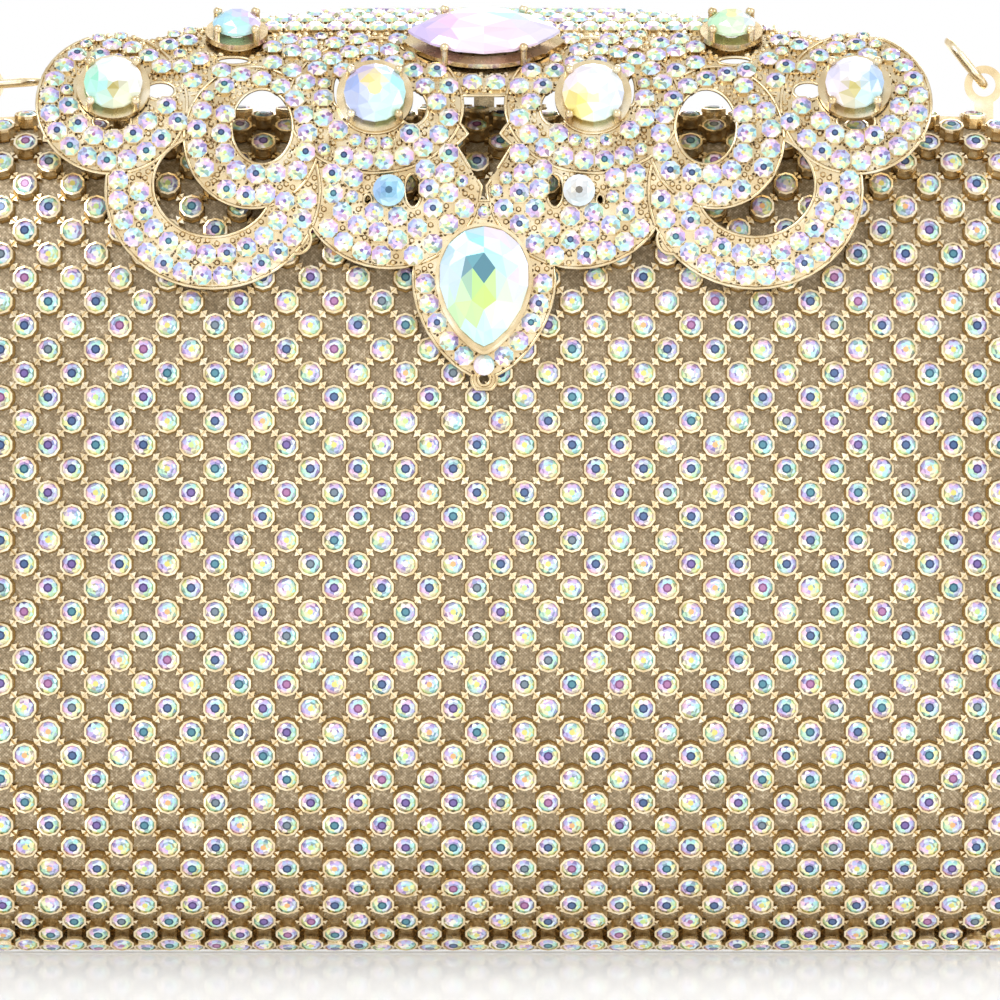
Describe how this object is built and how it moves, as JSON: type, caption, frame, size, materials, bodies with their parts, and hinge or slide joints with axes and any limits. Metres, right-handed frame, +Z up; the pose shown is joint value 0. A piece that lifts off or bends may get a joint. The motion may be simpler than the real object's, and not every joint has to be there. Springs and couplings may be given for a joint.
{
  "type": "rhinestone clutch",
  "caption": "Hard evening clutch in two hinged halves skinned in rhinestone mesh, closed by a sprung openwork clasp set with crystals, with strap rings at its top edge.",
  "frame": {"origin": "middle of the part's length and depth, on the surface that it stands on", "axes": "+X along the bag to the right as seen from the front, -Y out of the front, +Z up"},
  "size_m": [0.1896, 0.0558, 0.1211],
  "materials": {
    "gold_alloy": "polished",
    "steel": "satin",
    "shell": "matt",
    "rhinestone_mesh": "faceted, iridescent",
    "crystal": "faceted, iridescent",
    "champagne_cloth": "fine weave with a sheen",
    "satin_lining": "satin"
  },
  "bodies": {
    "back_half": {"back_shell": "shell", "back_rim": "gold_alloy", "back_fabric": "champagne_cloth", "back_mesh": "rhinestone_mesh", "back_base_mesh": "rhinestone_mesh", "back_lining": "satin_lining", "slip_pocket": "satin_lining", "back_hinge_leaves": "gold_alloy", "hinge_pins": "steel", "keeper_tongue": "gold_alloy", "keeper_rivets": "gold_alloy", "strap_eye_left": "gold_alloy", "strap_eye_right": "gold_alloy"},
    "front_half": {"front_shell": "shell", "front_rim": "gold_alloy", "front_fabric": "champagne_cloth", "front_mesh": "rhinestone_mesh", "front_base_mesh": "rhinestone_mesh", "front_lining": "satin_lining", "front_hinge_leaves": "gold_alloy", "clasp_bracket": "gold_alloy", "bracket_screws": "gold_alloy", "clasp_pin": "steel", "clasp_spring": "steel"},
    "clasp": {"filigree": "gold_alloy", "clasp_lever": "gold_alloy", "lever_rivets": "gold_alloy", "pave_stones": "crystal", "marquise_stone": "crystal", "marquise_basket": "gold_alloy", "teardrop_stone": "crystal", "teardrop_bezel": "gold_alloy", "inner_stones": "crystal", "inner_baskets": "gold_alloy", "outer_stones": "crystal", "outer_baskets": "gold_alloy", "top_stones": "crystal", "top_baskets": "gold_alloy", "small_stones": "crystal", "drop_stone": "crystal"},
    "left_ring": {"strap_ring_left": "gold_alloy"},
    "right_ring": {"strap_ring_right": "gold_alloy"}
  },
  "joints": [
    {"name": "case_hinge", "type": "hinge", "parent": "back_half", "child": "front_half", "pos_m": [0, 0.00189, 0.0015], "axis": [1, 0, 0], "range_deg": [0, 60]},
    {"name": "clasp_flip", "type": "hinge", "parent": "front_half", "child": "clasp", "pos_m": [0, 0.0039, 0.1132], "axis": [-1, 0, 0], "range_deg": [0, 60], "stiffness_Nm_per_rad": 0.02, "springref_deg": -28.65},
    {"name": "left_ring_swing", "type": "hinge", "parent": "back_half", "child": "left_ring", "pos_m": [-0.0641, 0.00347, 0.1112], "axis": [0, 1, 0], "range_deg": [-181, 9]},
    {"name": "right_ring_swing", "type": "hinge", "parent": "back_half", "child": "right_ring", "pos_m": [0.0641, 0.00347, 0.1112], "axis": [0, 1, 0], "range_deg": [-56, 134]}
  ]
}
